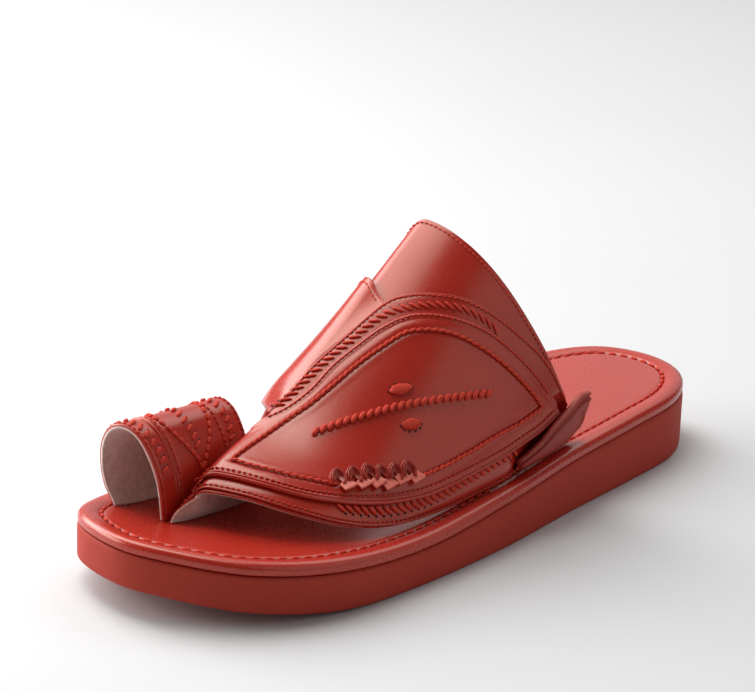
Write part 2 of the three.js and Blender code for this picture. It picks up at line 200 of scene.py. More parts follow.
STRAP = table("low_u low_y high_u high_y", [
    [-0.98, 9, 0.09, -11.6],
    [-0.98, 1, 0.045, -20],
    [-0.98, -8, 0.01, -29.2],
    [-0.98, -15, -0.05, -41],
    [-0.98, -19, -0.09, -52.5],
    [-0.98, -24, -0.19, -64.0],
])

# Radius of rounded edges
EDGE_RADIUS = {
    "upper": 0.5, "lining": 0.4, "outer_low": 0.45, "outer_high": 0.5, "inner_low": 0.6, "inner_high": 0.7,
    "strap": 0.5, "loop": 0.55,
}

REAR_CORNER = 12.6  # row of the outer leaf's lower edge where the tongue begins
TONGUE_STRIP = 11  # strip of the upper where the tongue begins

# Machine rows: distance inside their edges
ROW_INSET = {
    "outer_low": 1.3, "outer_high": 1.2, "inner_low": 3.3, "inner_high": 1.1,
    "upper_back": 1.5, "strap_rear": 1.3,
}

# Ridges and grooves beside the edges of the leaves: distance from the edge, width, rise
OUTER_LOW_GROOVE = [(1.3, 0.45, -0.14)]
OUTER_HIGH_GROOVE = [(1.2, 0.45, -0.14)]
INNER_LOW_RIDGES = [
    (0.65, 0.45, 0.15), (1.25, 0.22, -0.4), (1.85, 0.45, 0.15), (2.55, 0.3, -0.25), (3.3, 0.4, -0.12),
]
INNER_HIGH_RIDGES = [(1.1, 0.4, -0.14), (2.4, 0.8, -0.12)]
CORD_GROOVE = [(0, 0.7, -0.3)]
CORD_SWELL = [(2.2, 1.1, 0.08)]
STRAP_GROOVE = [(1.1, 0.4, -0.14)]

# Toe loop: outline from its medial base over the top to its lateral base, and its front and rear end
LOOP = table("across up", [
    [-0.62, 0], [-0.9, 0.22], [-1.0, 0.48], [-0.93, 0.74], [-0.66, 0.93], [-0.24, 1.0],
    [0.2, 0.94], [0.56, 0.76], [0.84, 0.5], [0.96, 0.24], [1.0, 0],
])
LOOP_END = table("middle half top y skew lean", [
    [-19.7, 13.5, 54.2, -114.4, 0.198, 1.0],
    [-24.0, 12.6, 50.8, -66.4, 0.07, -0.3],
])

# Doubled edge behind the loop's front band: distance from the band's end, width, rise
LOOP_RIDGES = [(-1.0, 0.28, -0.35), (-0.45, 0.3, 0.15), (0.95, 0.4, 0.45)]

# Lateral tongue: foot on the footbed and upper edge, outer face
THONG = table("foot_x foot_y foot_rise head_x head_y head_z", [
    [41.9, 14.0, 0.4, 46.2, 10.4, 28.6],
    [41.4, 22.0, 0.4, 47.4, 20.0, 33.4],
    [40.5, 30.5, 0.4, 47.1, 28.5, 38.6],
    [39.0, 39.0, 0.4, 46.1, 37.5, 42.7],
    [37.4, 46.5, 0.8, 43.9, 45.5, 45.2],
    [37.8, 52.5, 8.0, 42.4, 52.0, 44.6],
])

# Folded lips along the tongue's upper edge: share of its height, width, rise
THONG_LIPS = [(0.78, 0.06, 0.6), (0.87, 0.035, -0.7), (0.95, 0.04, 0.4)]

# Passage for the big toe through the medial wall: arch along Y
TOE_ARCH = {
    "middle": -25.5, "half": 14.0, "foot": -5.0, "spring": 28.0, "top": 48.5, "round": 3.0,
    "from": -120.0, "to": -46.0,
}

# Knots on the inner leaf: places of the folded loop and of its cut end, size and turn
KNOT = table("loop_u loop_y flap_u flap_y size turn", [
    [0.557, -62.8, 0.608, -61.6, 0.95, -12],
    [0.586, -57.2, 0.635, -55.9, 0.95, -6],
    [0.614, -52.0, 0.662, -51.1, 1.0, 4],
    [0.64, -47.8, 0.697, -47.5, 0.78, 0],
    [0.672, -43.4, 0.706, -42.1, 0.95, -4],
    [0.693, -38.6, 0.733, -36.9, 0.95, 6],
])
KNOT_ARCH = table("along down", [
    [-0.9, 3.1], [-1.9, 1.5], [-2.3, 0.0], [-1.8, -1.7], [-0.8, -3.0], [0.6, -2.5],
    [1.9, -1.4], [2.4, 0.0], [2.1, 1.5],
])
KNOT_STAND = INNER_TOP + 0.15  # underside of the knots
KNOT_WALL = 0.28  # half the thickness of the folded strip
KNOT_HOODS = [(0.0, 2.3), (0.62, 1.9)]  # inset and height of the outer and the inner fold
FLAP_LIFT = 1.0  # cut end above the knot's underside, its size and its tilt in degrees
FLAP_SIZE = 1.45
FLAP_TILT = 18.0
KNOT_FLAP = table("along down", [[1.74, -0.71], [-0.84, -1.96], [-2.35, 1.09], [1.45, 1.59]])

# Decorative rows on the upper's surface
BRAID_TOP = table("u y", [
    [0.007, -58.5], [0.047, -53.1], [0.091, -37.7], [0.128, -26.9], [0.149, -19.1], [0.176, -13.9],
    [0.222, -8.5], [0.3, -1.3], [0.373, 4.8], [0.45, 10.4], [0.538, 15.4],
])
BRAID_LOW = table("u y", [
    [0.679, -69], [0.792, -53.9], [0.856, -37], [0.88, -18], [0.886, 2.6], [0.888, 11.6],
])
CORD_TOP = table("u y", [
    [0.14, -86.6], [0.154, -72.7], [0.171, -61.5], [0.204, -51.5], [0.225, -41.9], [0.243, -31.9],
    [0.267, -22.9], [0.298, -14.2], [0.353, -7.9], [0.424, -1.65], [0.506, 4.1], [0.599, 10.6],
    [0.689, 17], [0.769, 22.9], [0.803, 25],
])
CORD_RIGHT = table("u y", [
    [0.805, 24.7], [0.805, 14.4], [0.793, 1.95], [0.784, -10.1], [0.772, -20.4], [0.756, -29.5],
    [0.745, -34.8],
])
CORD_LEFT = table("u y", [
    [0.14, -86.7], [0.253, -84.1], [0.346, -80.4], [0.424, -76.3], [0.498, -71], [0.579, -64.4],
])
WHIP = table("u y", [
    [0.318, -58.3], [0.369, -49], [0.427, -39.4], [0.482, -29.6], [0.542, -19.6], [0.603, -9],
    [0.667, 3.6],
])
DOTS = table("u y half_long half_wide holes", [
    [0.441, -26.3, 4.2, 2.5, 1],
    [0.559, -29.4, 3.6, 2.6, -1],
])

# Rows on the toe loop: share of its length, turn round its arch
LOOP_CHAINS = [
    table("share turn", [
        [0.34, 0.42], [0.285, 0.5], [0.28, 0.58], [0.32, 0.657], [0.385, 0.72], [0.445, 0.773],
        [0.468, 0.82],
    ]),
    table("share turn", [
        [0.795, 0.4], [0.755, 0.5], [0.718, 0.573], [0.693, 0.633], [0.627, 0.707], [0.543, 0.767],
        [0.475, 0.815],
    ]),
    table("share turn", [[0.34, 0.42], [0.38, 0.34], [0.43, 0.26], [0.475, 0.2]]),
    table("share turn", [[0.795, 0.4], [0.715, 0.33], [0.6, 0.26], [0.475, 0.2]]),
]
LOOP_SLANTED = [
    table("share turn", [
        [0.09, 0.2], [0.09, 0.35], [0.088, 0.463], [0.08, 0.573], [0.08, 0.657], [0.095, 0.723],
        [0.085, 0.8],
    ]),
    table("share turn", [[0.505, 0.28], [0.51, 0.443], [0.493, 0.543], [0.48, 0.62], [0.488, 0.74]]),
    table("share turn", [
        [0.86, 0.2], [0.865, 0.35], [0.865, 0.477], [0.865, 0.58], [0.865, 0.663], [0.84, 0.75],
    ]),
]
LOOP_MACHINE = [0.024, 0.23, 0.765, 0.976]


def smooth(values, k):
    """Catmull-Rom through equally spaced values, carried straight on past both ends."""
    k = np.asarray(k, float)
    last = len(values) - 1
    i = np.clip(np.floor(k).astype(int), 0, last - 1)
    t = k - i
    p1 = values[i]
    p2 = values[i + 1]
    p0 = np.where(i > 0, values[np.maximum(i - 1, 0)], 2 * p1 - p2)
    p3 = np.where(i + 2 <= last, values[np.minimum(i + 2, last)], 2 * p2 - p1)
    a = 2 * p0 - 5 * p1 + 4 * p2 - p3
    b = 3 * p1 - p0 - 3 * p2 + p3
    return 0.5 * (2 * p1 + (p2 - p0) * t + a * t**2 + b * t**3)


def mix(a, b, t):
    return a + (b - a) * t


def ramp(low, high, value):
    t = np.clip((value - low) / (high - low), 0, 1)
    return t * t * (3 - 2 * t)


def window(value, rise_from, rise_to, fall_from, fall_to):
    """Rises from none to all, and falls back again."""
    return ramp(rise_from, rise_to, value) * (1 - ramp(fall_from, fall_to, value))


def bump(distance, centre, width):
    """A soft ridge of height one at a distance from an edge."""
    return np.exp(-(((distance - centre) / width) ** 2))


def ridges(distance, profile):
    """Soft ridges and grooves at their distances from an edge."""
    return sum(rise * bump(distance, at, width) for at, width, rise in profile)


def rounded(distance, radius):
    """Drop of a rounded edge at a distance from it."""
    inside = np.clip(radius - distance, 0, radius)
    return radius - np.sqrt(np.maximum(radius**2 - inside**2, 0))


def unit(vectors):
    return vectors / np.maximum(np.linalg.norm(vectors, axis=-1, keepdims=True), 1e-9)


def steps_along(curve, count):
    """Row numbers at equal steps through a table."""
    return np.linspace(0, len(next(iter(curve.values()))) - 1, count)


# Sole and reference surface of the upper


def station(y):
    return np.arccos(np.clip(-2 * np.asarray(y, float) / LENGTH, -1, 1)) / np.pi * STATIONS


def seam_height(y):
    return smooth(SOLE["seam"], station(y))


def bed_height(y):
    return seam_height(y) + BED_RISE


def shoulder(u, y):
    """Fullness of the medial side over the instep, less its fall beside the toe loop."""
    instep = ramp(*FULL_Y, y) * mix(FULLER_SHARE, 1.0, ramp(*FULLER_Y, y))
    fall = NOSE_DROP * window(y, *NOSE_Y) * window(u, *NOSE_U)
    return MEDIAL_FULLNESS * instep * window(u, *FULL_U) - fall


def surface_point(u, y):
    """Reference surface: u runs from the medial base (-1) over the ridge (0) to the lateral base (1)."""
    u, y = np.broadcast_arrays(np.asarray(u, float), np.asarray(y, float))
    section = {name: smooth(column, (y - SECTION_START) / SECTION_STEP) for name, column in UPPER.items()}
    base = bed_height(y) + GAP
    along_slot = (y - SLOT["front_y"]) / (SLOT["back_y"] - SLOT["front_y"])
    slot = mix(SLOT["front_x"], SLOT["back_x"], along_slot)
    medial = mix(slot, section["medial_x"], ramp(SLOT["turn_from"], SLOT["turn_to"], y))
    side = np.where(u > 0, section["lateral_x"], medial)
    power = 2 / np.where(u > 0, section["lateral_n"], section["medial_n"])
    angle = np.minimum(np.abs(u), 1) * np.pi / 2
    across = np.sin(angle) ** power
    up = np.maximum(np.cos(angle), 0) ** power
    out = shoulder(u, y)
    x = mix(section["ridge_x"], side, across) + SHOULDER_OUT[0] * out
    return np.stack([x, y, mix(base, section["ridge_z"], up) + SHOULDER_OUT[1] * out], -1)


def surface_normal(u, y):
    du = 0.05
    dy = 1.5
    base_turn = 0.1
    u = np.asarray(u, float)
    across = surface_point(np.minimum(u + du, 1), y) - surface_point(np.maximum(u - du, -1), y)
    along = surface_point(u, y + dy) - surface_point(u, y - dy)
    normal = unit(np.cross(across, along))
    normal[..., 2] *= np.clip((1 - np.abs(u)) / base_turn, 0, 1)
    return unit(normal)


def surface_offset(u, y, offset):
    points = surface_point(u, y) + surface_normal(u, y) * np.asarray(offset, float)[..., None]
    points[..., 2] = np.maximum(points[..., 2], bed_height(points[..., 1]) + GAP)
    return points


# Meshes


def outward(points, faces):
    """Faces turned so that the closed mesh encloses a positive volume."""
    points = np.asarray(points, float)
    fans = np.array([(face[0], face[i], face[i + 1]) for face in faces for i in range(1, len(face) - 1)])
    a, b, c = (points[fans[:, j]] for j in range(3))
    if (a * np.cross(b, c)).sum() < 0:
        return [face[::-1] for face in faces]
    return faces


def new_object(name, data):
    made = bpy.data.objects.new(name, data)
    bpy.context.scene.collection.objects.link(made)
    return made


def new_mesh(name, points, faces):
    """A mesh from points in the last's own frame."""
    mesh = bpy.data.meshes.new(name)
    placed = (np.asarray(points, float) - (LAST_X, 0, 0)) * MM
    mesh.from_pydata(placed.tolist(), [], faces)
    return mesh


def add_piece(name, points, faces, material, slot, node=None):
    """A piece on the one body, and in place of a node where one is named. The slot is not used."""
    mesh = new_mesh(name, points, faces)
    mesh.materials.append(material)
    mesh.shade_smooth()
    mesh.update()
    piece = new_object(name, mesh)
    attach(piece, "root")
    if node:
        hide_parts(node)
    return piece


def sheet(outer, inner):
    """A closed sheet between two grids of points."""
    rows, cols = outer.shape[:2]
    index = np.arange(rows * cols).reshape(rows, cols)
    under = index + rows * cols
    strips = [
        (index[:-1, :-1], index[1:, :-1], index[1:, 1:], index[:-1, 1:]),
        (under[:-1, :-1], under[:-1, 1:], under[1:, 1:], under[1:, :-1]),
        (index[:-1, 0], under[:-1, 0], under[1:, 0], index[1:, 0]),
        (index[:-1, -1], index[1:, -1], under[1:, -1], under[:-1, -1]),
        (index[0, :-1], index[0, 1:], under[0, 1:], under[0, :-1]),
        (index[-1, :-1], under[-1, :-1], under[-1, 1:], index[-1, 1:]),
    ]
    faces = np.concatenate([np.stack(strip, -1).reshape(-1, 4) for strip in strips]).tolist()
    points = np.concatenate([outer.reshape(-1, 3), inner.reshape(-1, 3)])
    return points, outward(points, faces)


def joined(meshes):
    """Several meshes as one list of points and faces."""
    points = []
    faces = []
    count = 0
    for part, part_faces in meshes:
        points.append(np.asarray(part, float))
        faces.extend([[i + count for i in face] for face in part_faces])
        count += len(part)
    return np.concatenate(points), faces


def distance_to(points, line):
    """Shortest distance from each point to a line of points."""
    batch = 2000
    flat = points.reshape(-1, 3)
    start = line[:-1]
    step = line[1:] - line[:-1]
    size = np.maximum((step**2).sum(-1), 1e-9)
    result = np.empty(len(flat))
    for first in range(0, len(flat), batch):
        away = flat[first:first + batch, None, :] - start[None]
        t = np.clip((away * step).sum(-1) / size, 0, 1)
        result[first:first + batch] = np.sqrt(((away - t[..., None] * step) ** 2).sum(-1)).min(1)
    return result.reshape(points.shape[:-1])


# Grid lines beside the edges of a leaf, in millimetres from the edge
NEAR_EDGE = np.array([0, 0.1, 0.25, 0.45, 0.7, 1.0, 1.4, 1.9, 2.6, 3.5, 5.0])
NEAR_RIDGES = np.array([0, 0.08, 0.18, 0.3, *np.arange(0.45, 2.2, 0.15), 2.4, 2.8, 3.2, 3.7, 4.4, 5.2])


def spread(length, near, middle):
    """Shares across each row, crowded at both edges."""
    scale = np.minimum(1, 0.45 * length / near[-1])[:, None]
    first = near * scale / length[:, None]
    last = 1 - first[:, ::-1]
    inner = np.linspace(0, 1, middle + 2)[1:-1]
    between_edges = mix(first[:, -1:], last[:, :1], inner[None, :])
    return np.concatenate([first, between_edges, last], 1)


def edge_at(edges, side, k):
    """u and y along one edge of a leaf."""
    return smooth(edges[side + "_u"], k), smooth(edges[side + "_y"], k)


def leaf_grid(edges, rows, near, middle):
    """u and y of a grid between the two edges of a leaf."""
    k = steps_along(edges, rows + 1)
    low_u, low_y = (a[:, None] for a in edge_at(edges, "low", k))
    high_u, high_y = (a[:, None] for a in edge_at(edges, "high", k))
    t = np.linspace(0, 1, 24)[None, :]
    ruling = surface_point(mix(low_u, high_u, t), mix(low_y, high_y, t))
    length = np.linalg.norm(np.diff(ruling, axis=1), axis=-1).sum(1)
    share = spread(length, near, middle)
    return mix(low_u, high_u, share), mix(low_y, high_y, share)


def edge_line(edges, side):
    return surface_point(*edge_at(edges, side, steps_along(edges, 400)))


# Threads

ROW_STEPS = 60  # steps along a row for each place in its table


def circle(sides):
    """Equal angles round a strand."""
    return np.arange(sides) / sides * 2 * np.pi


def resample(points, normals, step=0.25):
    """A row as points, normals and running length at equal steps."""
    length = np.concatenate([[0], np.cumsum(np.linalg.norm(np.diff(points, axis=0), axis=1))])
    at = np.linspace(0, length[-1], max(int(length[-1] / step), 2))
    points, normals = pick((points, normals, length), at)
    return points, normals, at


def pick(line, at):
    """Points and normals of a row at running lengths."""
    points, normals, length = line
    found = [np.stack([np.interp(at, length, a[:, j]) for j in range(3)], -1) for a in (points, normals)]
    return found[0], unit(found[1])


def route(u, y, offset):
    """A row on the upper's surface."""
    return resample(surface_offset(u, y, offset), surface_normal(u, y))


def curve_route(curve, offset):
    k = steps_along(curve, ROW_STEPS * len(curve["u"]))
    return route(smooth(curve["u"], k), smooth(curve["y"], k), offset)


def edge_route(edges, side, inset, offset, start, stop):
    """A row that follows an edge of a leaf at a distance inside it."""
    other_side = "high" if side == "low" else "low"
    k = np.linspace(start, stop, 600) * (len(edges["low_u"]) - 1)
    u, y = edge_at(edges, side, k)
    points = surface_offset(u, y, offset)
    normals = surface_normal(u, y)
    other = surface_point(*edge_at(edges, other_side, k))
    across = np.cross(normals, unit(np.gradient(points, axis=0)))
    across *= np.sign((across * (other - points)).sum(-1, keepdims=True))
    return resample(points + across * inset, normals)


def arched(q):
    """Rise of a stitch along its length."""
    return np.sin(np.pi * q) ** 0.6


def spaced(line, pitch):
    """Running lengths at the middles of equal steps, near a pitch."""
    total = line[2][-1]
    count = max(int(total / pitch), 1)
    return (np.arange(count) + 0.5) * total / count


def running(line, pitch, length, lift, rings=7):
    """Stitches that follow a row: centre lines and normals."""
    first = spaced(line, pitch) - length / 2
    q = np.linspace(0, 1, rings)
    points, normals = pick(line, first[:, None] + q[None, :] * length)
    return points + normals * (lift * arched(q))[None, :, None], normals


def slanted(line, pitch, length, angles, lift, rings=9):
    """Stitches laid across a row at a slant that turns from its start to its end."""
    near = 0.6
    total = line[2][-1]
    at = spaced(line, pitch)
    points, normals = pick(line, at)
    ahead, _ = pick(line, np.minimum(at + near, total))
    behind, _ = pick(line, np.maximum(at - near, 0))
    tangent = unit(ahead - behind)
    across = unit(np.cross(normals, tangent))
    angle = np.radians(np.interp(at / total, np.linspace(0, 1, len(angles)), angles))[:, None]
    direction = np.cos(angle) * tangent + np.sin(angle) * across
    q = np.linspace(0, 1, rings)
    lines = points[:, None] + direction[:, None] * ((q - 0.5) * length)[None, :, None]
    lines = lines + normals[:, None] * (lift * arched(q))[None, :, None]
    return lines, np.repeat(normals[:, None], rings, 1)


def tubes(points):
    """Closed tubes through rings of points, as one mesh."""
    count, rings, sides = points.shape[:3]
    index = np.arange(count * rings * sides).reshape(count, rings, sides)
    turned = np.roll(index, -1, 2)
    quads = np.stack([index[:, :-1], turned[:, :-1], turned[:, 1:], index[:, 1:]], -1).reshape(-1, 4)
    caps = [row[::-1] for row in index[:, 0].tolist()] + index[:, -1].tolist()
    return points.reshape(-1, 3), quads.tolist() + caps


def strands(lines, normals, radius, flat=0.85, sides=8, turns=1.5, ply=0.1):
    """Two-ply strands round centre lines, as one mesh."""
    tangent = unit(np.gradient(lines, axis=1))
    side = unit(np.cross(normals, tangent))
    up = np.cross(tangent, side)
    q = np.linspace(0, 1, lines.shape[1])
    taper = np.sqrt(np.clip(1 - np.abs(2 * q - 1) ** 5, 0.05, 1))
    angle = circle(sides)
    twist = 1 + ply * np.cos(2 * (angle[None, :] - turns * np.pi * q[:, None]))
    reach = (radius * taper[:, None] * twist)[None, :, :, None]
    around = np.cos(angle)[None, None, :, None] * side[:, :, None]
    over = flat * np.sin(angle)[None, None, :, None] * up[:, :, None]
    return tubes(lines[:, :, None] + reach * (around + over))


def pads(centres, normals, radius, high=0.06, sides=10):
    """Small low domes painted near-black, as painted shade inside the needle holes at the ends of
    stitches.
    """
    helper = np.where(np.abs(normals[:, 2:]) < 0.9, [[0.0, 0.0, 1.0]], [[1.0, 0.0, 0.0]])
    side = unit(np.cross(normals, helper))
    up = np.cross(normals, side)
    angle = circle(sides)
    ring = np.cos(angle)[None, :, None] * side[:, None] + np.sin(angle)[None, :, None] * up[:, None]
    low = centres[:, None] + radius * ring - normals[:, None] * 0.1
    top = centres[:, None] + 0.75 * radius * ring + normals[:, None] * high
    return tubes(np.stack([low, top], 1))


def needle_hole_shade(lines, normals, radius, sink=0.1, beyond=0.35):
    """Painted shade of needle holes, just past both ends of each stitch."""
    meshes = []
    for end, inner in ((0, 1), (-1, -2)):
        away = unit(lines[:, end] - lines[:, inner])
        centres = lines[:, end] + beyond * away - sink * normals[:, end]
        meshes.append(pads(centres, normals[:, end], radius))
    return joined(meshes)


# Materials


def fill(tree, node, sockets):
    """Gives each named socket of a node its value, or a link where the value is a socket."""
    for name, value in sockets.items():
        if isinstance(value, bpy.types.NodeSocket):
            tree.links.new(value, node.inputs[name])
        else:
            node.inputs[name].default_value = value
    return node.outputs


def texture(tree, kind, sockets):
    """A texture laid on in the piece's own coordinates."""
    where = tree.nodes.new("ShaderNodeTexCoord").outputs["Object"]
    return fill(tree, tree.nodes.new(kind), {"Vector": where, **sockets})


def noise(tree, scale, detail, rough=0.55):
    sockets = {"Scale": scale, "Detail": detail, "Roughness": rough}
    return texture(tree, "ShaderNodeTexNoise", sockets)["Fac"]


def between(tree, value, low, high, from_low=0.3, from_high=0.7):
    """A texture's usual range carried to another one."""
    sockets = {"Value": value, "From Min": from_low, "From Max": from_high, "To Min": low, "To Max": high}
    return fill(tree, tree.nodes.new("ShaderNodeMapRange"), sockets)["Result"]


def relief(tree, height, strength, distance):
    sockets = {"Height": height, "Strength": strength, "Distance": distance}
    return fill(tree, tree.nodes.new("ShaderNodeBump"), sockets)["Normal"]


def dress(tree, sockets):
    fill(tree, tree.nodes["Principled BSDF"], sockets)


def two_toned(name, light, dark, scale, detail, rough=0.55, low=0.3, high=0.7):
    """A material whose colour wanders between a dark and a light tone."""
    material = bpy.data.materials.new(name)
    material.use_nodes = True
    tree = material.node_tree
    share = between(tree, noise(tree, scale, detail, rough), 0, 1, low, high)
    node = tree.nodes.new("ShaderNodeMix")
    node.data_type = "RGBA"
    colour = fill(tree, node, {"Factor": share, "A": (*dark, 1), "B": (*light, 1)})["Result"]
    dress(tree, {"Base Color": colour})
    return material, tree


def pored_grain(tree):
    """Fine grain with pores between its cells."""
    cells = texture(tree, "ShaderNodeTexVoronoi", {"Scale": 1900})["Distance"]
    pores = between(tree, cells, 0, 0.8, from_low=0.0, from_high=0.6)
    node = tree.nodes.new("ShaderNodeMath")
    node.operation = "ADD"
    return fill(tree, node, {0: noise(tree, scale=1500, detail=3), 1: pores})["Value"]


def leather(name, light, dark, rough, coat):
    material, tree = two_toned(name, light, dark, scale=22, detail=2)
    dress(tree, {
        "Roughness": between(tree, noise(tree, scale=1400, detail=2), rough - 0.02, rough + 0.02),
        "Normal": relief(tree, pored_grain(tree), strength=0.15, distance=0.00012),
        "Specular IOR Level": 0.62,
        "Specular Tint": (1.0, 0.94, 0.8, 1),
        "Coat Weight": coat,
        "Coat Roughness": 0.24,
    })
    return material


def foam(name, light, dark):
    material, tree = two_toned(name, light, dark, scale=2300, detail=2, rough=0.8, low=0.4, high=0.6)
    grain = relief(tree, noise(tree, scale=1700, detail=4, rough=0.7), strength=0.35, distance=0.0003)
    dress(tree, {"Normal": grain, "Roughness": 0.72, "Specular IOR Level": 0.35})
    return material


def suede(name, light, dark):
    material, tree = two_toned(name, light, dark, scale=420, detail=6, rough=0.7, low=0.35, high=0.65)
    nap = relief(tree, noise(tree, scale=2600, detail=3, rough=0.8), strength=0.5, distance=0.0003)
    dress(tree, {"Normal": nap, "Roughness": 0.9, "Sheen Weight": 0.2})
    return material


def thread(name, light, dark):
    material, tree = two_toned(name, light, dark, scale=700, detail=3)
    fibre = relief(tree, noise(tree, scale=5200, detail=2, rough=0.7), strength=0.5, distance=0.0002)
    dress(tree, {"Normal": fibre, "Roughness": 0.7, "Specular IOR Level": 0.3})
    return material


def matte(name, light, dark, scale, rough, shine):
    material, tree = two_toned(name, light, dark, scale, detail=2)
    dress(tree, {"Roughness": rough, "Specular IOR Level": shine})
    return material


UPPER_RED = leather("upper_red", (0.45, 0.021, 0.01), (0.39, 0.017, 0.008), 0.26, 0.03)
BED_RED = leather("footbed_red", (0.45, 0.022, 0.011), (0.4, 0.018, 0.009), 0.28, 0.04)
KNOT_RED = leather("knot_red", (0.44, 0.03, 0.019), (0.36, 0.022, 0.014), 0.36, 0.08)
# Painted highlight: a lighter coral for the knots' cut ends, for the light their upturned faces catch.
FLAP_PAINTED_HIGHLIGHT = leather("flap_coral_painted_highlight", (0.78, 0.17, 0.12), (0.64, 0.11, 0.075), 0.34, 0.1)
# Painted shade: the tongue and its web in a darker red than the upper's leather, for the shade they lie
# in.
TONGUE_PAINTED_SHADE = leather("tongue_red_painted_shade", (0.33, 0.016, 0.008), (0.27, 0.012, 0.006), 0.58, 0.0)
FOAM_RED = foam("foam_red", (0.44, 0.036, 0.016), (0.34, 0.026, 0.012))
GREY_LINING = suede("grey_lining", (0.72, 0.56, 0.5), (0.54, 0.4, 0.35))
RED_THREAD = thread("red_thread", (0.66, 0.05, 0.022), (0.52, 0.034, 0.015))
# Near-black painted shade, standing in for the dark inside of needle holes.
HOLE_PAINTED_SHADE = matte("needle_hole_painted_shade", (0.03, 0.004, 0.003), (0.012, 0.002, 0.002), 900, 0.9, 0.5)
PALE_FLOOR = matte("pale_floor", (0.65, 0.65, 0.65), (0.63, 0.63, 0.63), 3, 0.6, 0.2)


def add_threads(name, meshes):
    add_piece(name, *joined(meshes), RED_THREAD, "thread")


# Pieces painted near-black as the shade inside needle holes.
def add_painted_hole_shade(name, meshes):
    add_piece(name, *joined(meshes), HOLE_PAINTED_SHADE, "thread")


# Sole

SOLE_STEPS = 180


def sole_ring(inset):
    """Plan of the sole's outline at an inset."""
    k = np.linspace(0, STATIONS, SOLE_STEPS + 1)
    y = -LENGTH / 2 * np.cos(np.pi * k / STATIONS)
    lateral = np.stack([smooth(SOLE["lateral"], k), y], -1)
    medial = np.stack([-smooth(SOLE["medial"], k), y], -1)
    plan = np.concatenate([lateral, medial[-2:0:-1]])
    along = unit(np.roll(plan, -1, 0) - np.roll(plan, 1, 0))
    return plan + np.stack([-along[:, 1], along[:, 0]], -1) * inset


def cap(ring, first, extra_from, columns):
    """A crossed strip that closes a ring: added points and faces."""
    count = len(ring)
    index = np.zeros((SOLE_STEPS + 1, columns + 1), int)
    extra = []
    for i in range(SOLE_STEPS + 1):
        other = (count - i) % count
        index[i] = first + i
        index[i, -1] = first + other
        if i in (0, SOLE_STEPS):
            continue
        for c in range(1, columns):
            index[i, c] = extra_from + len(extra)
            extra.append(mix(ring[i], ring[other], c / columns))
    corners = np.stack([index[:-1, :-1], index[1:, :-1], index[1:, 1:], index[:-1, 1:]], -1).reshape(-1, 4)
    kept = [list(dict.fromkeys(face)) for face in corners.tolist()]
    return np.array(extra), [face if first else face[::-1] for face in kept if len(face) > 2]


def stack(rings, columns):
    """Rings joined from below and closed at the bottom and at the top."""
    count = len(rings[0])
    points = list(rings)
    faces = []
    for j in range(len(rings) - 1):
        a = np.arange(count) + j * count
        b = np.roll(a, -1)
        faces.extend(np.stack([a, b, b + count, a + count], -1).tolist())
    total = len(rings) * count
    for ring, first in ((rings[0], 0), (rings[-1], total - count)):
        extra, cap_faces = cap(ring, first, total, columns)
        points.append(extra)
        faces.extend(cap_faces)
        total += len(extra)
    points = np.concatenate(points)
    return points, outward(points, faces)


def on_seam(plan, rise):
    """A ring at a rise above the seam between footbed and outsole."""
    return np.column_stack([plan, seam_height(plan[:, 1]) + rise])


def make_outsole():
    rings = []
    for inset, share in zip(OUTSOLE_WALL["inset"], OUTSOLE_WALL["share"]):
        plan = sole_ring(inset)
        y = plan[:, 1]
        low = np.maximum(smooth(SOLE["bottom"], station(y)), 0)
        rings.append(np.column_stack([plan, mix(low, seam_height(y) - GAP / 2, share)]))
    add_piece("outsole_foam", *stack(rings, columns=24), FOAM_RED, "outsole_foam", "outsole")


def make_footbed():
    k = steps_along(FOOTBED_RIM, 4 * (len(FOOTBED_RIM["inset"]) - 1) + 1)
    profile = zip(smooth(FOOTBED_RIM["inset"], k), smooth(FOOTBED_RIM["rise"], k))
    rings = [on_seam(sole_ring(inset), rise) for inset, rise in profile]
    add_piece("footbed_leather", *stack(rings, columns=30), BED_RED, "footbed_leather", "footbed")


def make_footbed_stitches():
    groove = on_seam(sole_ring(GROOVE["inset"]), GROOVE["rise"] + 0.2)
    closed = np.concatenate([groove, groove[:1]])
    line = resample(closed, np.tile([[0.0, 0.0, 1.0]], (len(closed), 1)))
    lines, normals = running(line, pitch=4.65, length=3.3, lift=0.42, rings=9)
    add_threads("footbed_stitches", [strands(lines, normals, radius=0.55, sides=9)])
    add_painted_hole_shade("footbed_hole_shade", [needle_hole_shade(lines, normals, radius=0.5)])


# Upper and its leaves


def passage_outline():
    """The arch of the big toe's passage, across and up."""
    turn = np.linspace(0, np.pi, 33)
    power = 2 / TOE_ARCH["round"]
    across = np.sign(np.cos(turn)) * np.abs(np.cos(turn)) ** power
    up = np.abs(np.sin(turn)) ** power
    x = TOE_ARCH["middle"] + TOE_ARCH["half"] * across
    z = mix(TOE_ARCH["spring"], TOE_ARCH["top"], up)
    arch = list(zip(x, z))
    return [(arch[0][0], TOE_ARCH["foot"]), *arch, (arch[-1][0], TOE_ARCH["foot"])]


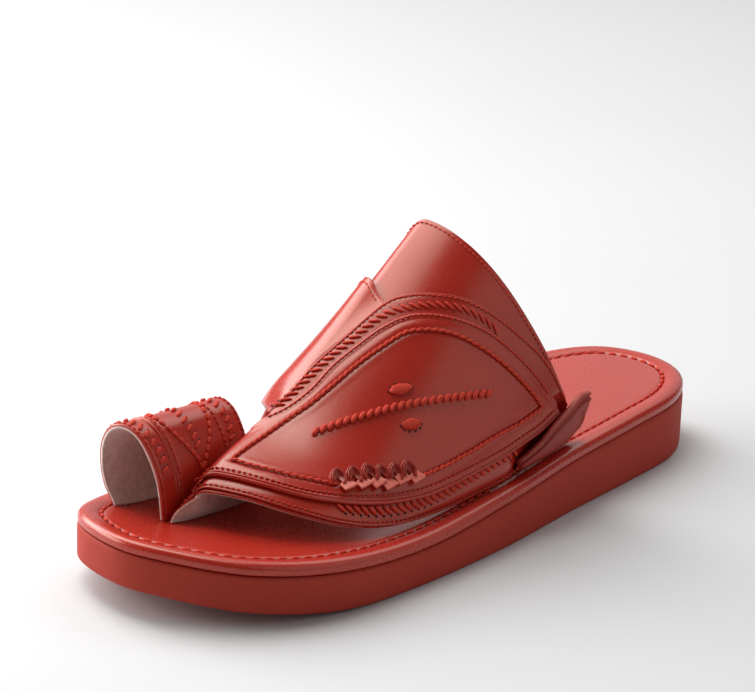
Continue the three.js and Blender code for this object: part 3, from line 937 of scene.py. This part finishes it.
def cut_passage(piece):
    """Opens the passage for the big toe through the medial wall."""
    outline = passage_outline()
    count = len(outline)
    points = np.array([(x, y, z) for y in (TOE_ARCH["from"], TOE_ARCH["to"]) for x, z in outline])
    faces = [(i, (i + 1) % count, (i + 1) % count + count, i + count) for i in range(count)]
    faces += [tuple(range(count))[::-1], tuple(range(count, 2 * count))]
    cutter = new_object("passage", new_mesh("passage", points, outward(points, faces)))
    modifier = piece.modifiers.new("passage", "BOOLEAN")
    modifier.operation = "DIFFERENCE"
    modifier.solver = "EXACT"
    modifier.object = cutter
    bpy.context.view_layer.update()
    evaluated = piece.evaluated_get(bpy.context.evaluated_depsgraph_get())
    result = bpy.data.meshes.new_from_object(evaluated)
    piece.modifiers.clear()
    piece.data = result
    result.shade_smooth()
    bpy.data.objects.remove(cutter)


def rear_corner_line():
    """Lower edge of the outer leaf beside the tongue."""
    return edge_at(LEAF_OUTER, "low", np.linspace(REAR_CORNER, len(LEAF_OUTER["low_u"]) - 1, 60))


def roll_in(points):
    """How far the lateral rear corner turns in behind the tongue."""
    edge = distance_to(points, surface_point(*rear_corner_line()))
    turned = ramp(*ROLL_START, points[..., 1]) * (points[..., 0] > 0)
    return ROLL_DEPTH * (1 - ramp(0, ROLL_WIDTH, edge)) * turned


def leaf(edges, rows, near, middle):
    """A grid between two edges, its points, and their distances from the low and the high edge."""
    u, y = leaf_grid(edges, rows, near, middle)
    reference = surface_point(u, y)
    low, high = (distance_to(reference, edge_line(edges, side)) for side in ("low", "high"))
    return u, y, reference, low, high


def make_upper():
    u, y, reference, front, back = leaf(UPPER_STRIPS, rows=280, near=NEAR_EDGE, middle=40)
    edge = np.minimum(front, back)
    thin = FRONT_THIN * (1 - ramp(0, FRONT_REACH, front))
    roll = roll_in(reference)
    skin = UPPER_SKIN - rounded(edge, EDGE_RADIUS["upper"]) - roll
    join = UPPER_SKIN - (UPPER_WALL - LINING) + thin * SKIN_THIN - roll
    inside = UPPER_SKIN - UPPER_WALL + thin + 0.5 * rounded(edge, EDGE_RADIUS["lining"]) - roll
    outer = sheet(surface_offset(u, y, skin), surface_offset(u, y, join))
    inner = sheet(surface_offset(u, y, join - 0.02), surface_offset(u, y, inside))
    cut_passage(add_piece("upper_leather", *outer, UPPER_RED, "upper_leather", "upper"))
    cut_passage(add_piece("upper_lining", *inner, GREY_LINING, "lining_leather"))


def outer_leaf_height(front):
    """Outer face of the outer leaf, thinned towards the front edge."""
    return LEAF_TOP - FRONT_SKIVE * (1 - ramp(0, 5, front))


def make_leaf_outer():
    u, y, reference, front, back = leaf(LEAF_OUTER, rows=300, near=NEAR_EDGE, middle=40)
    roll = roll_in(reference)
    edges = rounded(front, EDGE_RADIUS["outer_low"]) + rounded(back, EDGE_RADIUS["outer_high"])
    height = outer_leaf_height(front) - edges - roll
    height += ridges(front, OUTER_LOW_GROOVE) + ridges(back, OUTER_HIGH_GROOVE)
    mesh = sheet(surface_offset(u, y, height), surface_offset(u, y, LEAF_BASE - roll))
    add_piece("leaf_outer_leather", *mesh, UPPER_RED, "upper_leather", "leaf_outer")


def make_leaf_inner():
    u, y, reference, low, high = leaf(LEAF_INNER, rows=330, near=NEAR_RIDGES, middle=70)
    cords = [distance_to(reference, curve_route(c, 0)[0][::4]) for c in (CORD_TOP, CORD_RIGHT, CORD_LEFT)]
    cord = np.minimum.reduce(cords)
    edges = rounded(low, EDGE_RADIUS["inner_low"]) + rounded(high, EDGE_RADIUS["inner_high"])
    height = INNER_TOP - edges
    height += ridges(low, INNER_LOW_RIDGES) + ridges(high, INNER_HIGH_RIDGES) + ridges(cord, CORD_GROOVE)
    height += ridges(cord, CORD_SWELL) * ramp(2.6, 3.6, low) * ramp(2.2, 3.4, high)
    height = np.maximum(height, INNER_BASE + INNER_LEAST)
    mesh = sheet(surface_offset(u, y, height), surface_offset(u, y, INNER_BASE))
    add_piece("leaf_inner_leather", *mesh, UPPER_RED, "upper_leather", "leaf_inner")


def strap_height(points):
    """Outer face of the strap, low where the outer leaf laps over it."""
    return STRAP_LOW + STRAP_RISE * ramp(0, STRAP_SLOPE, distance_to(points, edge_line(STRAP, "high")))


def make_strap():
    lapped = {**STRAP, "high_u": STRAP["high_u"] + STRAP_LAP}
    u, y = leaf_grid(lapped, rows=160, near=NEAR_EDGE, middle=60)
    reference = surface_point(u, y)
    rear = distance_to(reference, reference[0])
    front = distance_to(reference, reference[-1])
    height = strap_height(reference)
    edge = rounded(np.minimum(rear, front), EDGE_RADIUS["strap"])
    height += ridges(rear, STRAP_GROOVE) - np.minimum(edge, height - LEAF_BASE - STRAP_LEAST)
    mesh = sheet(surface_offset(u, y, height), surface_offset(u, y, LEAF_BASE))
    add_piece("medial_overlay_leather", *mesh, UPPER_RED, "upper_leather", "medial_overlay")


# Rows of thread on the upper


def strap_rear_row():
    """A row just inside the rear edge of the strap."""
    share = np.linspace(0.03, 0.99, 200)
    u = mix(STRAP["low_u"][0], STRAP["high_u"][0], share)
    y = mix(STRAP["low_y"][0], STRAP["high_y"][0], share) - ROW_INSET["strap_rear"]
    return route(u, y, strap_height(surface_point(u, y)) - 0.1)


def upper_back_row():
    """A row just inside the back edge of the upper."""
    u, y = edge_at(UPPER_STRIPS, "high", np.linspace(0, TONGUE_STRIP, 400))
    return route(u, y - ROW_INSET["upper_back"], UPPER_SKIN + 0.04)


def make_machine_stitches():
    skived = outer_leaf_height(ROW_INSET["outer_low"])
    rows = [
        edge_route(LEAF_OUTER, "low", ROW_INSET["outer_low"], skived + 0.02, start=0.02, stop=0.86),
        edge_route(LEAF_OUTER, "high", ROW_INSET["outer_high"], LEAF_TOP, start=0.1, stop=0.985),
        edge_route(LEAF_INNER, "low", ROW_INSET["inner_low"], INNER_TOP, start=0.05, stop=0.985),
        edge_route(LEAF_INNER, "high", ROW_INSET["inner_high"], INNER_TOP, start=0.2, stop=0.985),
        upper_back_row(),
        strap_rear_row(),
    ]
    meshes = []
    holes = []
    for line in rows:
        lines, normals = running(line, pitch=2.0, length=1.5, lift=0.2)
        meshes.append(strands(lines, normals, radius=0.32, sides=6, turns=1, ply=0.05))
        holes.append(needle_hole_shade(lines[:, -2:], normals[:, -2:], radius=0.27, sink=0.0, beyond=0.22))
    add_threads("machine_stitches", meshes)
    add_painted_hole_shade("machine_hole_shade", holes)


def make_braids():
    top = curve_route(BRAID_TOP, LEAF_TOP + THREAD_SEAT)
    low = curve_route(BRAID_LOW, LEAF_TOP + THREAD_SEAT)
    whip = curve_route(WHIP, INNER_TOP + THREAD_SEAT)
    sets = [
        (slanted(top, pitch=3.07, length=4.6, angles=[-47, -44, -38, -34], lift=0.4), 0.42),
        (slanted(low, pitch=2.95, length=4.2, angles=[-46, -52, -65], lift=0.45), 0.6),
        (slanted(whip, pitch=2.8, length=4.0, angles=[34, 40, 46], lift=0.55), 0.9),
    ]
    meshes = []
    holes = []
    for (lines, normals), radius in sets:
        meshes.append(strands(lines, normals, radius, sides=10, turns=2))
        holes.append(needle_hole_shade(lines, normals, radius=0.58))
    add_threads("braid_stitches", meshes)
    add_painted_hole_shade("braid_hole_shade", holes)


def make_cords():
    meshes = []
    for curve in (CORD_TOP, CORD_RIGHT, CORD_LEFT):
        row = curve_route(curve, INNER_TOP)
        lines, normals = slanted(row, pitch=2.6, length=3.4, angles=[14, 14], lift=0.5)
        meshes.append(strands(lines, normals, radius=0.58, sides=10, turns=2))
    add_threads("corded_seam", meshes)


def make_dots():
    """Two satin-stitched fans, each with painted shade of needle holes along its open side."""
    meshes = []
    holes = []
    fan = np.radians(np.linspace(6, 174, 11))[:, None]
    q = np.linspace(0, 1, 9)[:, None]
    for u, y, half_long, half_wide, side in zip(*DOTS.values()):
        normal = surface_normal(u, y)
        tangent = unit(surface_point(u + 0.02, y + 3.0) - surface_point(u - 0.02, y - 3.0))
        across = np.cross(normal, tangent) * side
        rim = half_long * np.cos(fan) * tangent + half_wide * np.sin(fan) * across
        dip = half_wide * (0.85 - 0.5 * np.cos(fan) ** 2)
        foot = 0.5 * half_long * np.cos(fan) * tangent - dip * across
        lines = surface_offset(u, y, INNER_TOP) + mix(foot[:, None], rim[:, None], q)
        lines = lines + (0.15 + 0.7 * np.sin(np.pi * q) ** 0.7) * normal
        normals = np.broadcast_to(normal, lines.shape)
        meshes.append(strands(lines, normals, radius=0.58, sides=9, turns=2))
        spots = lines[::2, -1] + 0.3 * unit(rim[::2]) - 0.1 * normal
        holes.append(pads(spots, np.broadcast_to(normal, spots.shape), radius=0.45))
    add_threads("satin_dots", meshes)
    add_painted_hole_shade("dot_hole_shade", holes)


# Toe loop


def loop_point(share, turn, depth):
    """Outer face of the toe loop at a share of its length and a turn round its arch."""
    share, turn, depth = np.broadcast_arrays(*(np.asarray(a, float) for a in (share, turn, depth)))
    end = {name: mix(column[0], column[1], share) for name, column in LOOP_END.items()}
    last = len(LOOP["across"]) - 1
    dk = 0.05
    base_turn = 0.04
    k = turn * last

    def plan(at):
        up = smooth(LOOP["up"], at)
        x = end["middle"] + smooth(LOOP["across"], at) * end["half"]
        y = end["y"] + end["skew"] * (x - end["middle"]) - end["lean"] * up
        return np.stack([x, y, mix(bed_height(y) + GAP, end["top"], up)], -1)

    step = plan(np.minimum(k + dk, last)) - plan(np.maximum(k - dk, 0))
    normal = np.stack([-step[..., 2], np.zeros_like(k), step[..., 0]], -1)
    normal[..., 2] *= np.clip(np.minimum(turn, 1 - turn) / base_turn, 0, 1)
    normal = unit(normal)
    return plan(k) + normal * depth[..., None], normal


def loop_depth(share):
    """Raised bands at both ends, with a doubled edge behind the front band."""
    at = share * LOOP_LENGTH
    step_down = ramp(FRONT_BAND - 0.3, FRONT_BAND + 0.5, at)
    step_up = ramp(REAR_BAND - 0.5, REAR_BAND + 0.4, at)
    depth = ridges(at - FRONT_BAND, LOOP_RIDGES) - LOOP_SINK * step_down * (1 - step_up)
    for line in LOOP_MACHINE:
        depth = depth - 0.12 * bump(at, line * LOOP_LENGTH, 0.45)
    return depth


def make_toe_loop():
    turn = np.linspace(0, 1, 181)[:, None]
    edge = NEAR_EDGE[NEAR_EDGE < 3]
    at = np.concatenate([
        edge,
        np.linspace(3.2, FRONT_BAND - 1.6, 6),
        FRONT_BAND + np.linspace(-1.3, 1.9, 20),
        np.linspace(FRONT_BAND + 2.6, REAR_BAND - 1.2, 26),
        REAR_BAND + np.linspace(-0.8, 0.9, 10),
        np.linspace(REAR_BAND + 1.6, LOOP_LENGTH - 3.4, 5),
        LOOP_LENGTH - edge[::-1],
    ])
    share = (at / LOOP_LENGTH)[None, :]
    ends = np.minimum(at, LOOP_LENGTH - at)[None, :]
    thin = LOOP_THIN * (1 - ramp(0, LOOP_REACH, ends))
    join = -LOOP_WALL + thin * LOOP_SKIN_THIN
    hem = 0.4 * rounded(ends, EDGE_RADIUS["lining"])
    outer, _ = loop_point(share, turn, loop_depth(share) - rounded(ends, EDGE_RADIUS["loop"]))
    middle, _ = loop_point(share, turn, join)
    below, _ = loop_point(share, turn, join - 0.02)
    inside, _ = loop_point(share, turn, -LOOP_WALL - LOOP_BAND + thin + hem)
    add_piece("toe_loop_leather", *sheet(outer, middle), UPPER_RED, "upper_leather", "toe_loop")
    add_piece("toe_loop_lining", *sheet(below, inside), GREY_LINING, "lining_leather")


def loop_route(curve, rise):
    k = steps_along(curve, ROW_STEPS * len(curve["share"]))
    share = smooth(curve["share"], k)
    return resample(*loop_point(share, smooth(curve["turn"], k), loop_depth(share) + rise))


def make_loop_stitches():
    meshes = []
    holes = []
    for curve in LOOP_CHAINS:
        lines, normals = running(loop_route(curve, 0.0), pitch=2.95, length=2.7, lift=0.25, rings=9)
        meshes.append(strands(lines, normals, radius=0.76, flat=0.75, sides=10, turns=2))
        holes.append(needle_hole_shade(lines, normals, radius=0.42, beyond=0.1))
    for curve in LOOP_SLANTED:
        row = loop_route(curve, 0.0)
        lines, normals = slanted(row, pitch=3.2, length=3.7, angles=[-58, -58], lift=0.35)
        meshes.append(strands(lines, normals, radius=0.8, flat=0.7, sides=10, turns=2))
        holes.append(needle_hole_shade(lines, normals, radius=0.58))
    for share in LOOP_MACHINE:
        curve = table("share turn", [[share, turn] for turn in (0.03, 0.35, 0.65, 0.97)])
        lines, normals = running(loop_route(curve, 0.05), pitch=2.1, length=1.7, lift=0.25)
        meshes.append(strands(lines, normals, radius=0.38, sides=6, turns=1, ply=0.05))
    add_threads("toe_loop_stitches", meshes)
    add_painted_hole_shade("toe_loop_hole_shade", holes)


# Lateral tongue


def thong_head(k):
    return np.stack([smooth(THONG[name], k) for name in ("head_x", "head_y", "head_z")], -1)


def make_thong():
    k = steps_along(THONG, 91)[:, None]
    t = np.linspace(0, 1, 61)[None, :]
    foot_y = smooth(THONG["foot_y"], k)
    foot_z = bed_height(foot_y) + np.maximum(smooth(THONG["foot_rise"], k), 0.4) + GAP
    foot = np.stack([smooth(THONG["foot_x"], k), foot_y, foot_z], -1)
    ruled = mix(foot, thong_head(k), t[..., None])
    ends = np.minimum(k, k.max() - k)
    below_lips = np.sin(np.pi * np.clip(t / THONG_SWELL_TOP, 0, 1))
    swell = THONG_SWELL * below_lips * window(k, *THONG_SWELL_ROWS)
    lips = ridges(t, THONG_LIPS)
    fold = ridges(k, THONG_FOLD) * window(t, *THONG_FOLD_UP)
    round_edge = rounded(np.minimum(t, 1 - t) * THONG_HEIGHT, 0.9) + rounded(ends * THONG_STEP, 1.4)
    outer = ruled.copy()
    outer[..., 0] += THONG_BULGE * np.sin(np.pi * t) + swell + lips + fold - round_edge
    inner = ruled.copy()
    inner[..., 0] += THONG_BULGE * np.sin(np.pi * t) - THONG_WALL
    # The tongue's darker red is painted shade.
    add_piece("lateral_thong_leather", *sheet(outer, inner), TONGUE_PAINTED_SHADE, "upper_leather", "lateral_thong")


def make_thong_web():
    """The fold between the rolled rear edge of the outer leaf and the tongue's upper edge."""
    u, y = rear_corner_line()
    rear = surface_offset(u, y, LEAF_BASE - ROLL_DEPTH + 0.3)
    head = thong_head(np.linspace(0.1, 3.9, len(u))) + WEB_SEAT
    t = np.linspace(0, 1, 25)[None, :, None]
    web = mix(rear[:, None], head[:, None], t)
    web[..., 2] -= WEB_SAG * np.sin(np.pi * t[..., 0])
    below = web - (0.0, 0.0, 1.0)
    # The web's darker red is painted shade.
    add_piece("lateral_thong_web", *sheet(web, below), TONGUE_PAINTED_SHADE, "upper_leather")


# Knots


def knot_frame(u, y, turn):
    """Axes along the row, down the leaf and out of it."""
    normal = surface_normal(u, y)
    down = surface_point(u + 0.02, y) - surface_point(u - 0.02, y)
    down = unit(down - normal * (down * normal).sum())
    along = np.cross(down, normal)
    angle = math.radians(turn)
    turned = math.cos(angle) * along + math.sin(angle) * down
    return turned, math.cos(angle) * down - math.sin(angle) * along, normal


def laid(flat, centre, along, down):
    """A plan laid out from a centre along two axes."""
    return centre + flat[..., :1] * along + flat[..., 1:] * down


def arch_plan(count, size):
    k = steps_along(KNOT_ARCH, count)
    return np.stack([smooth(KNOT_ARCH["along"], k), smooth(KNOT_ARCH["down"], k)], -1) * size


def knot_hood(centre, axes, size, inset, high):
    """A folded strip stood on edge as a pointed arch."""
    along, down, normal = axes
    plan = arch_plan(49, size)
    side = unit(np.gradient(plan, axis=0))
    side = np.stack([-side[:, 1], side[:, 0]], -1)
    heights = np.array([0.0, 0.25, 0.5, 0.72, 0.88, 0.97, 1.0]) * high * size
    drop = np.array([0, 0, 0, 0.02, 0.08, 0.16, 0.24])

    def face(reach):
        flat = plan[:, None] + side[:, None] * reach[None, :, None]
        return laid(flat, centre, along, down) + heights[None, :, None] * normal

    return sheet(face(KNOT_WALL - drop - inset), face(drop - KNOT_WALL - inset))


def knot_floor(centre, axes, size):
    """The fold seen inside the arch, dished towards its middle."""
    along, down, normal = axes
    plan = arch_plan(33, size)
    share = np.linspace(0, 1, 7)
    flat = mix(plan.mean(0)[None, None], plan[:, None], share[None, :, None])
    high = (0.5 + 0.9 * share**2)[None, :, None] * size
    bottom = laid(flat, centre, along, down) + 0.05 * normal
    return sheet(bottom + high * normal, bottom)


def knot_flap(centre, axes, size):
    """The strip's cut end, a thick diamond lifted off the leaf."""
    along, down, normal = axes
    tilt = math.radians(FLAP_TILT)
    away = math.cos(tilt) * down + math.sin(tilt) * normal
    face = math.cos(tilt) * normal - math.sin(tilt) * down
    count = 40
    corners = np.stack([KNOT_FLAP["along"], KNOT_FLAP["down"]], -1) * size
    k = np.arange(count) / count * len(corners)
    corner = np.floor(k).astype(int)
    plan = mix(corners[corner], corners[(corner + 1) % len(corners)], (k - corner)[:, None])
    share = np.array([0, 0.3, 0.6, 0.85, 0.94, 1.0])
    swell = np.array([0.5, 0.5, 0.5, 0.48, 0.42, 0.24])
    flat = mix(plan.mean(0)[None, None], plan[:, None], share[None, :, None])
    flat = np.concatenate([flat, flat[:1]])
    curl = 0.03 * flat[..., :1] ** 2 / size
    middle = laid(flat, centre, along, away) + curl * face
    return sheet(middle + swell[None, :, None] * face, middle - 0.2 * face)


def make_knots():
    for i, (size, turn) in enumerate(zip(KNOT["size"], KNOT["turn"])):
        name = f"knot_{i + 1}"
        loop_at = (KNOT["loop_u"][i], KNOT["loop_y"][i])
        flap_at = (KNOT["flap_u"][i], KNOT["flap_y"][i])
        axes = knot_frame(*loop_at, turn)
        centre = surface_offset(*loop_at, KNOT_STAND)
        hoods = [knot_hood(centre, axes, size, inset, high) for inset, high in KNOT_HOODS]
        parts = [*hoods, knot_floor(centre, axes, size)]
        add_piece(f"{name}_loop", *joined(parts), KNOT_RED, "knot_leather", name)
        lifted = surface_offset(*flap_at, KNOT_STAND + FLAP_LIFT)
        flap = knot_flap(lifted, knot_frame(*flap_at, turn / 2), FLAP_SIZE)
        # The cut end's lighter coral is painted highlight.
        add_piece(f"{name}_flap", *flap, FLAP_PAINTED_HIGHLIGHT, "knot_leather")


# Stage

FLOOR_HALF = 6.0  # metres


def make_floor():
    corners = [(-1, -1, 0), (1, -1, 0), (1, 1, 0), (-1, 1, 0)]
    mesh = bpy.data.meshes.new("floor")
    mesh.from_pydata((np.array(corners) * FLOOR_HALF).tolist(), [], [(0, 1, 2, 3)])
    mesh.materials.append(PALE_FLOOR)
    floor = new_object("floor", mesh)


# Camera at the photograph's angle
CAMERA = {"azimuth": 44.45, "elevation": 19.53, "roll": 2.01, "lens": 140.64, "sensor": 36.0}
CAMERA_AT = (692.33, -722.86, 416.96)


def camera_axes():
    azimuth, elevation, roll = (math.radians(CAMERA[name]) for name in ("azimuth", "elevation", "roll"))
    level = math.cos(elevation)
    back = Vector((math.sin(azimuth) * level, -math.cos(azimuth) * level, math.sin(elevation)))
    right = Vector((math.cos(azimuth), math.sin(azimuth), 0))
    up = back.cross(right)
    return math.cos(roll) * right + math.sin(roll) * up, math.cos(roll) * up - math.sin(roll) * right, back


def make_camera():
    data = bpy.data.cameras.new("camera")
    data.sensor_fit = "HORIZONTAL"
    data.sensor_width = CAMERA["sensor"]
    data.lens = CAMERA["lens"]
    camera = new_object("camera", data)
    matrix = Matrix(camera_axes()).transposed().to_4x4()
    matrix.translation = (Vector(CAMERA_AT) - Vector((LAST_X, 0, 0))) * MM
    camera.matrix_world = matrix
    bpy.context.scene.camera = camera


# Studio lights: direction from the sandal, distance, width and height in metres, radiance
LIGHTS = {
    "key": ((-0.6, -0.03, 0.8), 1.35, (0.74, 1.9), 5.9),
    "front_left": ((-0.78, -0.58, 0.31), 0.7, (0.7, 0.36), 6.3),
    "backdrop": ((-0.5, 0.7, 0.5), 2.5, (3.4, 2.4), 0.68),
    "right_panel": ((0.8, 0.28, 0.5), 1.5, (1.8, 1.5), 0.66),
    "high_back": ((-0.15, 0.62, 0.77), 2.0, (1.2, 0.8), 1.7),
}
LIGHT_TARGET = Vector((0, 0, 0.04))
WORLD = {"Color": (0.97, 0.98, 1.0, 1), "Strength": 0.08}


def make_lights():
    for name, (direction, distance, size, radiance) in LIGHTS.items():
        data = bpy.data.lights.new(name, "AREA")
        data.shape = "RECTANGLE"
        data.size, data.size_y = size
        data.energy = radiance * math.pi * size[0] * size[1]
        light = new_object(name, data)
        away = Vector(direction).normalized()
        light.location = LIGHT_TARGET + away * distance
        light.rotation_euler = (-away).to_track_quat("-Z", "Y").to_euler()
    world = bpy.data.worlds.new("studio")
    world.use_nodes = True
    fill(world.node_tree, world.node_tree.nodes["Background"], WORLD)
    bpy.context.scene.world = world
    bpy.context.scene.view_settings.view_transform = "Standard"


make_outsole()
make_footbed()
make_footbed_stitches()
make_upper()
make_leaf_outer()
make_leaf_inner()
make_strap()
make_machine_stitches()
make_braids()
make_cords()
make_dots()
make_toe_loop()
make_loop_stitches()
make_thong()
make_thong_web()
make_knots()
make_floor()
make_camera()
make_lights()
